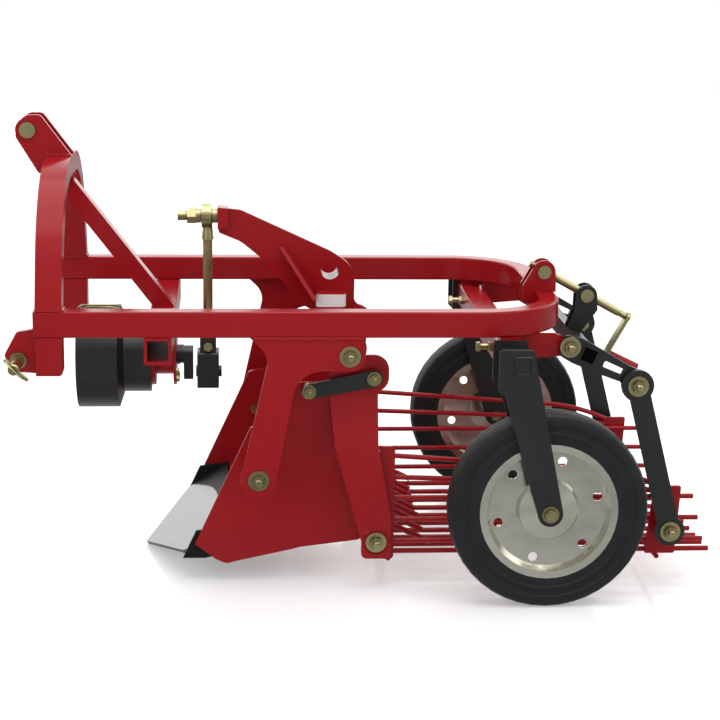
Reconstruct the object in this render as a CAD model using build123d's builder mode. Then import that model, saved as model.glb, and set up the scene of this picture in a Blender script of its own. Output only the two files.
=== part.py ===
from build123d import *
import math
import os

# Three-point-mounted shaking potato harvester. Millimetres, +Z up, front (tractor side) toward -X,
# the machine's left side toward -Y. The machine mirrors about the plane Y = 0.

os.makedirs("parts", exist_ok=True)

# ---------------------------------------------------------------- driving dimensions
frame_w = 672.0          # across the outer faces of the two rails
rail_w = 40.0            # rail tube, across
rail_h = 52.0            # rail tube, tall
rail_top = 587.0         # top face of the rails above the floor
rail_front = -663.0      # front ends of the rails
rail_rear = 397.0        # rear face of the bent rear end
bend_r = 180.0           # outer radius of the two rear corners
edge_r = 4.0             # rounded edges of the square tubes
wheel_d = 400.0          # tyre diameter
tyre_w = 67.0            # tyre width
tyre_gap = 5.5           # between a tyre and the wheel arm's plates
pto_z = 428.0            # height of the power take-off shaft
crank_e = 38.0           # crank throw
run = 0.05               # radial running clearance of a pin in its bore
gap = 5.0                # clearance between moving plates that lie side by side
slack = 1.0              # side play at a hub
plate = 8.0              # thickness of levers, arms and links
bolt_r = 12.0            # pivot bolts
small_r = 8.0            # bolts of the share links
washer_r = 21.0          # washers on the pivot bolts
washer_t = 3.0
nut_w = 22.0             # nuts on the pivot bolts, across flats
head_w = 28.0            # their heads
nut_t = 11.0
small_nut = 18.0         # nuts of the share links' bolts
small_washer = 14.5
rail_out = frame_w / 2
rail_in = rail_out - rail_w
rail_bot = rail_top - rail_h

# pivots, as (x, z)
rocker_p = (-44.0, 498.0)
share_p = (-224.0, 244.0)
link_a = (-122.0, 412.0)       # link pin on the share
link_b = (9.0, 439.0)          # link pin on the rocker
sieve_f = (16.0, 102.0)        # sieve's front pin
sieve_r = (620.0, 125.0)       # sieve's rear pin
tilt_p = (400.0, 510.0)
eye_p = (539.0, 432.0)         # upper eye of the rear links
nose_p = (-328.0, 727.0)       # centre of the push rod's eye
foot_p = (-328.0, 450.0)       # pin between push rod and crank block
clevis_p = (374.0, 629.0)      # front trunnion of the adjusting screw
nut_p = (466.0, 579.0)         # nut trunnion of the adjusting screw
axle_p = (350.0, wheel_d / 2)
socket_c = (275.0, 498.0)      # centre of the wheel arms' square tube
screw_y = 100.0                # plane of the adjusting screw, left of the middle

# distances of the plates' inner faces from the middle, from the inside out
share_in = 242.0
arm_in = share_in + plate + gap + 3
link_in = arm_in + plate + gap
sieve_in = 275.0
sieve_t = 6.0
lug_in = sieve_in + sieve_t + 2
lower_in = lug_in + plate + 3  # lower half of the rocker's side arms
lever_in = lug_in + plate + gap
rear_link_in = lever_in + plate + gap
bracket_t = 10.0
bracket_in = rail_out - bracket_t
fork_in = rail_out + 4
wheel_y = fork_in + plate + tyre_gap + tyre_w / 2   # wheel centre plane from the machine's middle
fork_out = 2 * wheel_y - fork_in - plate


# ---------------------------------------------------------------- shapes used by many pieces
def flat(points, y):
    # a face in the plane at distance y left of the middle; a point is (x, z) or (x, z, corner radius)
    f = Face(Wire.make_polygon([Vector(p[0], -y, p[1]) for p in points], close=True))
    for p in points:
        if len(p) > 2:
            corner = min(f.vertices(), key=lambda v: (v.X - p[0]) ** 2 + (v.Z - p[1]) ** 2)
            f = f.fillet_2d(p[2], [corner])
    return f


def left(points, y, t, mode=Mode.ADD):
    # a plate of thickness t whose inner face is at distance y
    extrude(flat(points, y), amount=t, dir=(0, -1, 0), mode=mode)


def pin_y(c, r, y0, y1, mode=Mode.ADD):
    # a round bar along Y on the left side between distances y0 and y1
    with Locations(Location((c[0], -(y0 + y1) / 2, c[1]), (90, 0, 0))):
        Cylinder(r, abs(y1 - y0), mode=mode)


def hex_y(c, across, y0, y1):
    # a hexagon head or nut along Y
    with BuildSketch(Plane(origin=(c[0], -y0, c[1]), z_dir=(0, -1, 0))) as s:
        RegularPolygon(across / 2, 6, major_radius=False, rotation=15)
    extrude(s.sketch, amount=y1 - y0)


def pin_x(y, z, r, x0, x1, mode=Mode.ADD):
    with Locations(Location(((x0 + x1) / 2, y, z), (0, 90, 0))):
        Cylinder(r, abs(x1 - x0), mode=mode)


def link(a, ra, b, rb, y, t):
    # a link plate: two eyes joined by straight tangent edges
    dx, dz = b[0] - a[0], b[1] - a[1]
    n = math.hypot(dx, dz)
    s = (ra - rb) / n
    c = math.sqrt(1 - s * s)
    ux, uz = dx / n, dz / n
    left([(p[0] + r * (s * ux - k * c * uz), p[1] + r * (s * uz + k * c * ux))
          for p, r, k in ((a, ra, 1), (b, rb, 1), (b, rb, -1), (a, ra, -1))], y, t)
    pin_y(a, ra, y, y + t)
    pin_y(b, rb, y, y + t)


def save(built, label):
    built.part.label = label
    export_step(built.part, "parts/" + label + ".step")


# ================================================================ frame
# the bent tube that runs down both sides and round the rear
with BuildPart() as main_rails:
    with BuildSketch(Plane.XY.offset(rail_bot)) as outer:
        with Locations(((rail_front + rail_rear) / 2, 0)):
            Rectangle(rail_rear - rail_front, frame_w)
        fillet(outer.vertices().group_by(Axis.X)[-1], bend_r)
        with BuildSketch(mode=Mode.SUBTRACT) as inner:
            with Locations(((rail_front + rail_rear - rail_w) / 2, 0)):
                Rectangle(rail_rear - rail_front - rail_w, frame_w - 2 * rail_w)
            fillet(inner.vertices().group_by(Axis.X)[-1], bend_r - rail_w)
    extrude(amount=rail_h)
    fillet(main_rails.edges().filter_by(Axis.X), edge_r)
save(main_rails, "main_rails")

# headstock arch: a bent tube that leans inward to a level top
arch_x = rail_front + 4
arch_d = 52.0            # tube, fore and aft
arch_w = 40.0            # tube, in the plane of the arch
arch_top = 855.0
arch_half = 246.0        # where the straight sides would meet the top
arch_r = 260.0
arch_lean = (rail_out - arch_half) / (arch_top - rail_top)
arch_leg = arch_w * math.hypot(1, arch_lean)
arch_in = rail_out - arch_leg - (arch_top - arch_w - rail_top) * arch_lean
with BuildPart() as arch:
    with BuildSketch(Plane.YZ.offset(arch_x)) as outer:
        Polygon((-rail_out, rail_top), (rail_out, rail_top), (arch_half, arch_top), (-arch_half, arch_top), align=None)
        fillet(outer.vertices().group_by(Axis.Y)[-1], arch_r)
        with BuildSketch(mode=Mode.SUBTRACT) as inner:
            Polygon((-rail_out + arch_leg, rail_top), (rail_out - arch_leg, rail_top),
                    (arch_in, arch_top - arch_w), (-arch_in, arch_top - arch_w), align=None)
            fillet(inner.vertices().group_by(Axis.Y)[-1], arch_r - arch_w)
    extrude(amount=arch_d)
save(arch, "arch")

# ears for the tractor's top link, either side of the middle
top_pin = (-697.0, 908.0)
ear_r = 25.0
ear_in = 23.0
ear_t = 10.0
top_pin_r = 9.5          # category 1 top link pin
arch_back = arch_x + arch_d
with BuildPart() as top_link_ears:
    left([(arch_back, arch_top), (-670, 939, 12), (-704, 939, 20), (-723, 896, 12), (-676, 819, 6),
          (arch_x, 819), (arch_x, arch_top)], ear_in, ear_t)
    pin_y(top_pin, ear_r, ear_in, ear_in + ear_t)
    pin_y(top_pin, top_pin_r, ear_in - 1, ear_in + ear_t + 1, Mode.SUBTRACT)
    mirror(about=Plane.XZ)
save(top_link_ears, "top_link_ears")

with BuildPart() as top_link_pin:
    pin_y(top_pin, top_pin_r, -ear_in - ear_t - 12, ear_in + ear_t)
    pin_y(top_pin, 16.5, ear_in + ear_t, ear_in + ear_t + 6)
    pin_y(top_pin, 14, -ear_in - ear_t, -ear_in - ear_t - 4)
save(top_link_pin, "top_link_pin")

# front cross tube between the rails, under them
cross_x = -449.0
cross_w = 54.0
cross_h = 54.0
cross_wall = 6.0
cross_bot = rail_bot - cross_h
with BuildPart() as front_cross_tube:
    with Locations((cross_x + cross_w / 2, 0, cross_bot + cross_h / 2)):
        Box(cross_w, frame_w, cross_h)
        fillet(front_cross_tube.edges().filter_by(Axis.Y), edge_r)
        Box(cross_w - 2 * cross_wall, frame_w, cross_h - 2 * cross_wall, mode=Mode.SUBTRACT)
save(front_cross_tube, "front_cross_tube")

# sloping tube that props the arch from the cross tube
brace_w = 40.0
brace_foot = 45.0        # length of its foot on the cross tube
with BuildPart() as brace:
    left([(cross_x + 6, rail_bot), (cross_x + 6 + brace_foot, rail_bot), (arch_x + brace_foot, arch_top - arch_w),
          (arch_x, arch_top - arch_w)], -brace_w / 2, brace_w)
save(brace, "brace")

# stubs and plates that carry the lower hitch pins
hitch_pin = (-693.0, 490.0)
hitch_t = 12.0
hitch_y = rail_out - 10 - hitch_t
lower_pin_r = 11.0       # category 1 lower hitch pin
stub_h = 76.0
with BuildPart() as hitch_brackets:
    left([(arch_x, rail_bot), (arch_back, rail_bot), (arch_back, rail_bot - stub_h, 8), (arch_x, rail_bot - stub_h)],
         rail_in, rail_w)
    left([(arch_x, rail_bot - 72), (-690, 465, 6), (-722, 497, 10), (-696, 545, 10), (rail_front, rail_bot + 16),
          (rail_front, rail_bot), (arch_x, rail_bot)], hitch_y, hitch_t)
    pin_y(hitch_pin, lower_pin_r, hitch_y - 1, rail_out, Mode.SUBTRACT)
    mirror(about=Plane.XZ)
save(hitch_brackets, "hitch_brackets")

pin_end = 416.0
with BuildPart() as lower_hitch_pins:
    pin_y(hitch_pin, lower_pin_r, hitch_y - 18, pin_end)
    chamfer(lower_hitch_pins.edges().filter_by(GeomType.CIRCLE).group_by(Axis.Y)[0], 2)
    pin_y(hitch_pin, 16.5, rail_out - 10, rail_out)
    hex_y(hitch_pin, 32, hitch_y - 14, hitch_y)
    with Locations((hitch_pin[0], -(pin_end - 12), hitch_pin[1])):
        Cylinder(3.5, 60, mode=Mode.SUBTRACT)
    mirror(about=Plane.XZ)
save(lower_hitch_pins, "lower_hitch_pins")

# bearing housing under the cross tube, and the guard that is bolted to its front
flange_r = 66.0
flange_t = 10.0
rear_flange_t = 6.0
house_r = 43.0
shaft_r = 18.0
cross_back = cross_x + cross_w
with BuildPart() as bearing_housing:
    pin_x(0, pto_z, house_r, cross_x, cross_back)
    pin_x(0, pto_z, flange_r, cross_x, cross_x + flange_t)
    pin_x(0, pto_z, flange_r, cross_back - rear_flange_t, cross_back)
    with Locations((cross_x + cross_w / 2, 0, cross_bot)):
        Box(cross_w, 2 * flange_r, 4 * flange_r, align=(Align.CENTER, Align.CENTER, Align.MIN), mode=Mode.SUBTRACT)
    pin_x(0, pto_z, shaft_r + run, cross_x - 1, cross_back + 1, Mode.SUBTRACT)
save(bearing_housing, "bearing_housing")

guard_r = 113.0
guard_neck = 80.0
guard_t = 3.0
guard_front = -602.0
guard_step = -516.0
guard_flat = 97.0        # height of the drum's flat roof over the shaft
with BuildPart() as guard_room:
    with BuildSketch(Plane.XZ):
        Polygon((guard_front - 1, 0), (guard_front - 1, guard_r - guard_t), (guard_step - 2, guard_r - guard_t),
                (guard_step + 9, guard_neck - guard_t), (cross_x - guard_t, guard_neck - guard_t), (cross_x - guard_t, house_r),
                (cross_x + 1, house_r), (cross_x + 1, 0), align=None)
    revolve(axis=Axis.X)
    with Locations((guard_front, 0, guard_flat - guard_t)):
        Box(400, 2 * guard_r, guard_r, align=(Align.CENTER, Align.CENTER, Align.MIN), mode=Mode.SUBTRACT)
with BuildPart() as pto_guard:
    with BuildSketch(Plane.XZ):
        Polygon((guard_front, 0), (guard_front, guard_r), (guard_step, guard_r), (guard_step + 11, guard_neck), (cross_x, guard_neck),
                (cross_x, 0), align=None)
    revolve(axis=Axis.X)
    with Locations((guard_front, 0, guard_flat)):
        Box(400, 2 * guard_r, guard_r, align=(Align.CENTER, Align.CENTER, Align.MIN), mode=Mode.SUBTRACT)
    add(guard_room.part, mode=Mode.SUBTRACT)
    pto_guard.part.locate(Location((0, 0, pto_z)))
save(pto_guard, "pto_guard")

# plates welded under the rails that carry the rocker and the share
bracket_top = rail_bot
lobe_r = 35.0
with BuildPart() as side_brackets:
    left([(-241, bracket_top), (-203, 499, 46), (share_p[0] - lobe_r + 1, share_p[1] + 8), share_p, (share_p[0] + lobe_r - 1, share_p[1] - 6),
          (-147, rocker_p[1] - 30, 60), (rocker_p[0] + 30, rocker_p[1] - 30, 28), (rocker_p[0] + 31, bracket_top)],
         bracket_in, bracket_t)
    pin_y(share_p, lobe_r, bracket_in, rail_out)
    for c in (rocker_p, share_p):
        pin_y(c, bolt_r, bracket_in - 1, rail_out + 1, Mode.SUBTRACT)
    mirror(about=Plane.XZ)
save(side_brackets, "side_brackets")

# square tube under the rails into which the wheel arms slide
arm_tube = 40.0          # square tube of the wheel arms
socket_wall = 5.0
socket_w = arm_tube + 2 * socket_wall
socket_top = socket_c[1] + socket_w / 2
with BuildPart() as wheel_socket_tube:
    with Locations((socket_c[0], 0, socket_c[1])):
        Box(socket_w, frame_w, socket_w)
        fillet(wheel_socket_tube.edges().filter_by(Axis.Y), edge_r)
        Box(arm_tube, frame_w, arm_tube, mode=Mode.SUBTRACT)
    with Locations((socket_c[0], -rail_in - rail_w / 2, socket_top), (socket_c[0], rail_in + rail_w / 2, socket_top)):
        Box(socket_w - 8, rail_w - 4, rail_bot - socket_top, align=(Align.CENTER, Align.CENTER, Align.MIN))
save(wheel_socket_tube, "wheel_socket_tube")

# lugs under the rear bends that carry the tilt levers
lug_r = 20.0
lug_front = socket_c[0] + socket_w / 2
with BuildPart() as rear_brackets:
    left([(lug_front, rail_bot), (372, rail_bot), (392, 527), tilt_p, (398, tilt_p[1] - lug_r), (lug_front, 482)], lug_in, plate)
    pin_y(tilt_p, lug_r, lug_in, lug_in + plate)
    pin_y(tilt_p, bolt_r, lug_in - 1, lug_in + plate + 1, Mode.SUBTRACT)
    mirror(about=Plane.XZ)
save(rear_brackets, "rear_brackets")

# fork on the rear cross rail that holds the adjusting screw's front trunnion
cheek_in = 12.0          # from the screw's plane to a cheek
cheek_t = 6.0
stub_r = 8.0             # trunnion stubs
cross_rail = rail_rear - rail_w
with BuildPart() as screw_clevis:
    for y in (screw_y + cheek_in, screw_y - cheek_in - cheek_t):
        left([(clevis_p[0] - 23, clevis_p[1] + 8), (330, 600, 8), (330, 563, 4), (cross_rail, 563), (cross_rail, rail_top),
              (rail_rear + 3, rail_top), (clevis_p[0] + 24, clevis_p[1])], y, cheek_t)
        pin_y(clevis_p, 24, y, y + cheek_t)
    pin_y(clevis_p, stub_r + run, screw_y - cheek_in - cheek_t - 1, screw_y + cheek_in + cheek_t + 1, Mode.SUBTRACT)
save(screw_clevis, "screw_clevis")

# wheel arms: a square tube in the socket with a plate either side of each wheel
arm_end = 25.0
axle_r = 10.0
arm_top = 532.0
with BuildPart() as wheel_forks:
    for y in (fork_in, fork_out):
        left([(239, arm_top, 5), (306, arm_top, 5), (axle_p[0] + arm_end, axle_p[1] + 4), axle_p, (axle_p[0] - arm_end, axle_p[1] - 2),
              (252, 440), (239, 452)], y, plate)
        pin_y(axle_p, arm_end, y, y + plate)
        pin_y(axle_p, axle_r + run, y - 1, y + plate + 1, Mode.SUBTRACT)
    with Locations((socket_c[0], -(200 + fork_out + plate) / 2, socket_c[1])):
        Box(arm_tube, fork_out + plate - 200, arm_tube)
        Box(arm_tube - 8, fork_out + plate - 200 - 16, arm_tube - 8, mode=Mode.SUBTRACT)
    mirror(about=Plane.XZ)
save(wheel_forks, "wheel_forks")

with BuildPart() as wheel_axles:
    pin_y(axle_p, axle_r, fork_in - 12, fork_out + plate + 10)
    pin_y(axle_p, 17, fork_out + plate, fork_out + plate + 2)
    hex_y(axle_p, nut_w, fork_out + plate + 2, fork_out + plate + 10)
    hex_y(axle_p, nut_w, fork_in - 12, fork_in)
    mirror(about=Plane.XZ)
save(wheel_axles, "wheel_axles")

# clamp screws that hold the wheel arms in their socket
clamp_y = 245.0
clamp_l = 32.0
socket_front = socket_c[0] - socket_w / 2
with BuildPart() as fork_clamps:
    pin_x(-clamp_y, socket_c[1], 6, socket_front - clamp_l, socket_front)
    for x in (socket_front - clamp_l, socket_front - 8):
        with BuildSketch(Plane(origin=(x, -clamp_y, socket_c[1]), x_dir=(0, 1, 0), z_dir=(1, 0, 0))) as s:
            RegularPolygon(small_nut / 2, 6, major_radius=False)
        extrude(s.sketch, amount=8)
    mirror(about=Plane.XZ)
save(fork_clamps, "fork_clamps")

# pivot bolts that the frame holds
with BuildPart() as frame_bolts:
    for c, inner, outer in ((rocker_p, 236, rail_out), (share_p, share_in - 2, rail_out), (tilt_p, lug_in, lever_in + plate + slack)):
        pin_y(c, bolt_r, inner - 8, outer)
        pin_y(c, washer_r, outer, outer + washer_t)
        hex_y(c, nut_w, outer + washer_t, outer + washer_t + nut_t)
    hex_y(tilt_p, head_w, lug_in - 12, lug_in)
    mirror(about=Plane.XZ)
save(frame_bolts, "frame_bolts")

# ================================================================ crank drive
stub_front = -560.0
stub_length = 76.0       # splined end of the power take-off stub
spline_r = 17.4
root_r = 14.8
web_t = 20.0
collar_r = 20.0
web_r = 18.0
web_x = -380.0
with BuildPart() as pto_crankshaft:
    pin_x(0, pto_z, shaft_r, stub_front + stub_length, web_x)
    pin_x(0, pto_z, root_r, stub_front, stub_front + stub_length)
    pin_x(0, pto_z, collar_r, cross_back + slack, web_x)
    with Locations(Location((stub_front + stub_length / 2, 0, pto_z))):
        for k in range(3):
            with Locations(Rot(k * 60, 0, 0)):
                Box(stub_length, 8.6, 2 * spline_r)
    with BuildSketch(Plane.YZ.offset(web_x)):
        with Locations((0, pto_z - crank_e / 2)):
            SlotCenterToCenter(crank_e, 2 * web_r, rotation=90)
    extrude(amount=web_t)
save(pto_crankshaft, "pto_crankshaft")

# block that runs on the crank pin, with the fork for the push rod
pin_z = pto_z - crank_e
block_x = web_x + web_t + 9
block_l = 46.0
block_w = 60.0
block_bot = pin_z - 32
block_top = pin_z + 46
rod_foot_w = 32.0
foot_pin_r = 7.0
cheek_up = 30.0          # height of the fork's cheeks over the pin
fork_x = (-345.0, -311.0)
with BuildPart() as crank_block:
    with Locations((block_x + block_l / 2, 0, (block_bot + block_top) / 2)):
        Box(block_l, block_w, block_top - block_bot)
        fillet(crank_block.edges().filter_by(Axis.X), 6)
    for y in (-rod_foot_w / 2 - 9, rod_foot_w / 2 + 1):
        left([(fork_x[0], block_top), (fork_x[1], block_top), (fork_x[1], foot_p[1] + cheek_up, 4), (fork_x[0], foot_p[1] + cheek_up, 4)], y, plate)
    pin_y(foot_p, foot_pin_r + run, -rod_foot_w, rod_foot_w, Mode.SUBTRACT)
    pin_x(0, pin_z, bolt_r, block_x - 3, block_x + block_l + 6)
save(crank_block, "crank_block")

with BuildPart() as block_bolt:
    pin_y(foot_p, foot_pin_r, -rod_foot_w / 2 - 16, rod_foot_w / 2 + 12)
    hex_y(foot_p, small_nut, rod_foot_w / 2 + 9, rod_foot_w / 2 + 18)
    hex_y(foot_p, small_nut, -rod_foot_w / 2 - 18, -rod_foot_w / 2 - 9)
save(block_bolt, "block_bolt")

# push rod: ball-type eye on the rocker's stud, flat foot in the block's fork
rod_r = 10.0
eye_r = 25.0
eye_x = (-342.5, -318.5)
stud_r = 10.0
with BuildPart() as push_rod:
    with Locations((nose_p[0], 0, (foot_p[1] + nose_p[1]) / 2)):
        Cylinder(rod_r, nose_p[1] - foot_p[1] - 20)
    pin_y(foot_p, 13, -rod_foot_w / 2, rod_foot_w / 2)
    pin_x(0, nose_p[1], eye_r, eye_x[0] + 2, eye_x[1] - 2)
    pin_x(0, nose_p[1], eye_r - 10, eye_x[0], eye_x[1])
    with Locations((nose_p[0], 0, nose_p[1] - eye_r - 12)):
        Cone(13, rod_r, 26)
    pin_y(foot_p, foot_pin_r + run, -rod_foot_w, rod_foot_w, Mode.SUBTRACT)
    pin_x(0, nose_p[1], stud_r + run, eye_x[0] - 1, eye_x[1] + 1, Mode.SUBTRACT)
save(push_rod, "push_rod")

# ================================================================ rocker
hub_r = 30.0
hub_end = bracket_in - slack
with BuildPart() as rocker_shaft:
    with Locations(Location((rocker_p[0], 0, rocker_p[1]), (90, 0, 0))):
        Cylinder(hub_r, 2 * (arm_in + plate))
        Cylinder(hub_r - 8, 2 * hub_end)
        Cylinder(hub_r - 8, 2 * (arm_in - 24), mode=Mode.SUBTRACT)
        Cylinder(bolt_r + run, 2 * hub_end + 2, mode=Mode.SUBTRACT)
save(rocker_shaft, "rocker_shaft")

# arm over the middle, whose nose takes the push rod
web = 12.0
hole_c = (-68.0, 612.0)
hole_r = 20.0
with BuildPart() as rocker_centre_arm:
    left([(-98, rocker_p[1]), (-35, rocker_p[1]), (-35, 567), (-98, 567)], -40, 80)
    fillet(rocker_centre_arm.edges().filter_by(Axis.Z), 12)
    left([(-302, 745, 4), (-258, 740, 30), (-67, 653, 60), (-15, 620, 60), (-16, 540, 20), (12, 529, 3), (rocker_p[0] + 24, rocker_p[1] + 14),
          rocker_p, (rocker_p[0] - 26, rocker_p[1] + 8), (-133, 540, 20), (-196, 622, 90), (-257, 672, 60), (-305, 692, 4)], -web / 2, web)
    left([(-307, 747), (-285, 745), (-285, 705), (-307, 700)], -20, 40)
    pin_y(hole_c, hole_r + 4, -70, -web / 2)
    for side in (-1, 1):
        with BuildSketch(Plane(origin=(-102, 0, 558), x_dir=(0, side, 0), z_dir=(0.829 * side, 0, 0.559 * side))) as g:
            Polygon((0, 0), (70, 0), (14, 126.5), (0, 126.5), align=None)
        extrude(g.sketch, amount=4, both=True)
    with Locations(Location((rocker_p[0], 0, rocker_p[1]), (90, 0, 0))):
        Cylinder(hub_r, frame_w, mode=Mode.SUBTRACT)
    pin_y(hole_c, hole_r, -71, web, Mode.SUBTRACT)
save(rocker_centre_arm, "rocker_centre_arm")

with BuildPart() as nose_stud:
    pin_x(0, nose_p[1], stud_r, -391, -307)
    pin_x(0, nose_p[1], 15, eye_x[1] + 0.5, -307)
    pin_x(0, nose_p[1], 15, -353, eye_x[0] - 0.5)
    with BuildSketch(Plane(origin=(-371, 0, nose_p[1]), x_dir=(0, 1, 0), z_dir=(1, 0, 0))) as s:
        RegularPolygon(15, 6, major_radius=False)
    extrude(s.sketch, amount=18)
save(nose_stud, "nose_stud")

# side arms: plates cranked outward so that their lower ends pass outside the sieve
knee_z = 398.0
shin_z = 302.0
foot_r = 30.0
with BuildPart() as arm_outline:
    deep = lower_in + plate - arm_in
    pin_y(rocker_p, 38, arm_in, arm_in + deep)
    left([(rocker_p[0], 485), (40, 485, 31), (40, 408, 31), (-30, 408)], arm_in, deep)
    left([(rocker_p[0] - 38, rocker_p[1]), (-80, 402), (-70, shin_z), (sieve_f[0] - foot_r, sieve_f[1]), (sieve_f[0] - foot_r, 66, 12),
          (sieve_f[0] + foot_r, 66, 12), (46, 149), (18, shin_z), (18, 402), (link_b[0] + 20, link_b[1])], arm_in, deep)
with BuildPart() as rocker_side_arms:
    with BuildSketch(Plane.YZ.offset(-100)):
        Polygon((-arm_in, 600), (-arm_in, knee_z), (-lower_in, shin_z), (-lower_in, 40), (-lower_in - plate, 40), (-lower_in - plate, shin_z),
                (-arm_in - plate, knee_z), (-arm_in - plate, 600), align=None)
    extrude(amount=200)
    add(arm_outline.part, mode=Mode.INTERSECT)
    pin_y(rocker_p, hub_r, arm_in - 1, arm_in + plate + 1, Mode.SUBTRACT)
    pin_y(link_b, small_r, arm_in - 1, arm_in + plate + 1, Mode.SUBTRACT)
    pin_y(sieve_f, bolt_r + run, lower_in - 1, lower_in + plate + 1, Mode.SUBTRACT)
    mirror(about=Plane.XZ)
save(rocker_side_arms, "rocker_side_arms")

with BuildPart() as rocker_bolts:
    pin_y(link_b, small_r, arm_in - 9, link_in + plate + slack)
    pin_y(link_b, 13, arm_in + plate, link_in - slack)
    hex_y(link_b, small_nut, arm_in - 9, arm_in)
    pin_y(link_b, small_washer, link_in + plate + slack, link_in + plate + slack + 2)
    hex_y(link_b, small_nut, link_in + plate + slack + 2, link_in + plate + slack + 10)
    mirror(about=Plane.XZ)
save(rocker_bolts, "rocker_bolts")

# ================================================================ share
blade_tip = -460.0
blade_slope = 0.62       # rise over run of the blade and the deck
blade_t = 8.0
blade_back = -283.0
wing_t = 8.0
point_x = -375.0         # where the cutting edges end
point_y = 218.0
run_len = math.hypot(1, blade_slope)
with BuildPart() as share_blade:
    with BuildSketch(Plane(origin=(blade_tip, 0, 0), x_dir=(1, 0, blade_slope), z_dir=(-blade_slope, 0, 1))):
        Polygon((0, 0), ((point_x - blade_tip) * run_len, -point_y), ((-350 - blade_tip) * run_len, -share_in),
                ((blade_back - blade_tip) * run_len, -share_in), ((blade_back - blade_tip) * run_len, share_in),
                ((-350 - blade_tip) * run_len, share_in), ((point_x - blade_tip) * run_len, point_y), align=None)
    extrude(amount=blade_t)
    for s in (1, -1):
        left([(-378, 50), (-351, 108), (blade_back, 116), (blade_back, 62), (-332, 50)], s * (share_in - wing_t / 2) - wing_t / 2, wing_t)
save(share_blade, "share_blade")

with BuildPart() as share_sides:
    left([(-239, 331, 8), (-170, 345), (-150, 425, 14), (-60, 425, 30), (-60, 348, 8), (-8, 91, 10), (-137, 75), (-156, 70), (-267, 46, 20),
          (-288, 40, 20), (-309, 49), (-333, 67), (-353, 83)], share_in, plate)
    pin_y(share_p, bolt_r + run, share_in - 1, share_in + plate + 1, Mode.SUBTRACT)
    pin_y(link_a, small_r + run, share_in - 1, share_in + plate + 1, Mode.SUBTRACT)
    mirror(about=Plane.XZ)
save(share_sides, "share_sides")

# bosses that carry the share on its pivot bolts
with BuildPart() as share_hubs:
    pin_y(share_p, 21, share_in + plate, bracket_in - slack)
    pin_y(share_p, bolt_r + run, share_in, bracket_in, Mode.SUBTRACT)
    mirror(about=Plane.XZ)
save(share_hubs, "share_hubs")

with BuildPart() as share_bolts:
    pin_y(link_a, small_r, share_in - 9, link_in + plate + slack)
    pin_y(link_a, 13, share_in + plate, link_in - slack)
    hex_y(link_a, small_nut, share_in - 9, share_in)
    pin_y(link_a, small_washer, link_in + plate + slack, link_in + plate + slack + 2)
    hex_y(link_a, small_nut, link_in + plate + slack + 2, link_in + plate + slack + 10)
    mirror(about=Plane.XZ)
save(share_bolts, "share_bolts")

# deck behind the blade, with the fingers that drop the crop on the sieve
crest_x = -120.0
deck_t = 5.0
deck_0 = (blade_back, (blade_back - blade_tip) * blade_slope)
deck_1 = (crest_x, (crest_x - blade_tip) * blade_slope)
crest_r = 15.0
crest = (crest_x, deck_1[1] - 12)
with BuildPart() as share_deck:
    left([deck_0, deck_1, (deck_1[0], deck_1[1] + deck_t * run_len), (deck_0[0], deck_0[1] + deck_t * run_len)], -share_in, 2 * share_in)
    pin_y(crest, crest_r, -share_in, share_in)
save(share_deck, "share_deck")

# fingers welded to the deck's rear rod: an even row, and a longer one along each side
finger_r = 6.0
finger_pitch = 49.0
finger_side = share_in - 14
finger_end = 126.0
finger_end_side = 135.0
finger_z = 77.0
fingers = [(k * finger_pitch, finger_end) for k in range(-3, 4)] + [(s * finger_side, finger_end_side) for s in (-1, 1)]
with BuildPart() as share_fingers:
    for y, end in fingers:
        along = Vector(end - crest[0], 0, finger_z - crest[1])
        with BuildSketch(Plane(origin=Vector(crest[0], y, crest[1]) + along.normalized() * crest_r, x_dir=(0, 1, 0), z_dir=along)):
            Circle(finger_r)
        extrude(amount=along.length - crest_r)
save(share_fingers, "share_fingers")

# short links that drive the share from the rocker
with BuildPart() as share_links:
    link(link_a, 15, link_b, 17.5, link_in, plate)
    pin_y(link_b, small_r + run, link_in - 1, link_in + plate + 1, Mode.SUBTRACT)
    pin_y(link_a, small_r + 1.6, link_in - 1, link_in + plate + 1, Mode.SUBTRACT)
    mirror(about=Plane.XZ)
save(share_links, "share_links")

# ================================================================ sieve
with BuildPart() as sieve_pins:
    pin_y(sieve_f, bolt_r, sieve_in - slack - 8, lower_in + plate + slack)
    pin_y(sieve_f, washer_r, lower_in + plate + slack, lower_in + plate + slack + washer_t)
    hex_y(sieve_f, nut_w, lower_in + plate + slack + washer_t, lower_in + plate + slack + washer_t + nut_t)
    pin_y(sieve_f, 18, sieve_in + sieve_t + slack, lower_in - slack)
    hex_y(sieve_f, head_w, sieve_in - slack - 10, sieve_in - slack)
    mirror(about=Plane.XZ)
save(sieve_pins, "sieve_pins")

side_x = 36.0            # front ends of the sieve's side bars
with BuildPart() as sieve_front_plates:
    left([(22, 298, 8), (54, 298, 8), (54, 58, 8), (32, 58, 8), (sieve_f[0], 72), (sieve_f[0] - 24, sieve_f[1]), (sieve_f[0] - 8, 130), (22, 150, 20)],
         sieve_in, sieve_t)
    pin_y(sieve_f, 28, sieve_in, sieve_in + sieve_t)
    pin_y(sieve_f, bolt_r + run, sieve_in - 1, sieve_in + sieve_t + 1, Mode.SUBTRACT)
    mirror(about=Plane.XZ)
save(sieve_front_plates, "sieve_front_plates")

wire_r = 5.25            # side bars
floor_r = 5.5            # floor bars
floor_n = 10
floor_pitch = 53.3
floor_mid = 52.0
floor_rise = 10.0        # by which the floor's edges stand above its middle
floor_end = 722.0
wall_y = sieve_in - wire_r
cross_xs = (44.0, 300.0, 606.0)
post_r = 6.5             # short posts between the floor and the side bars
post_top = 104.0
edge_y = (floor_n - 1) / 2 * floor_pitch
dish_r = (edge_y ** 2 + floor_rise ** 2) / (2 * floor_rise)


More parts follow.
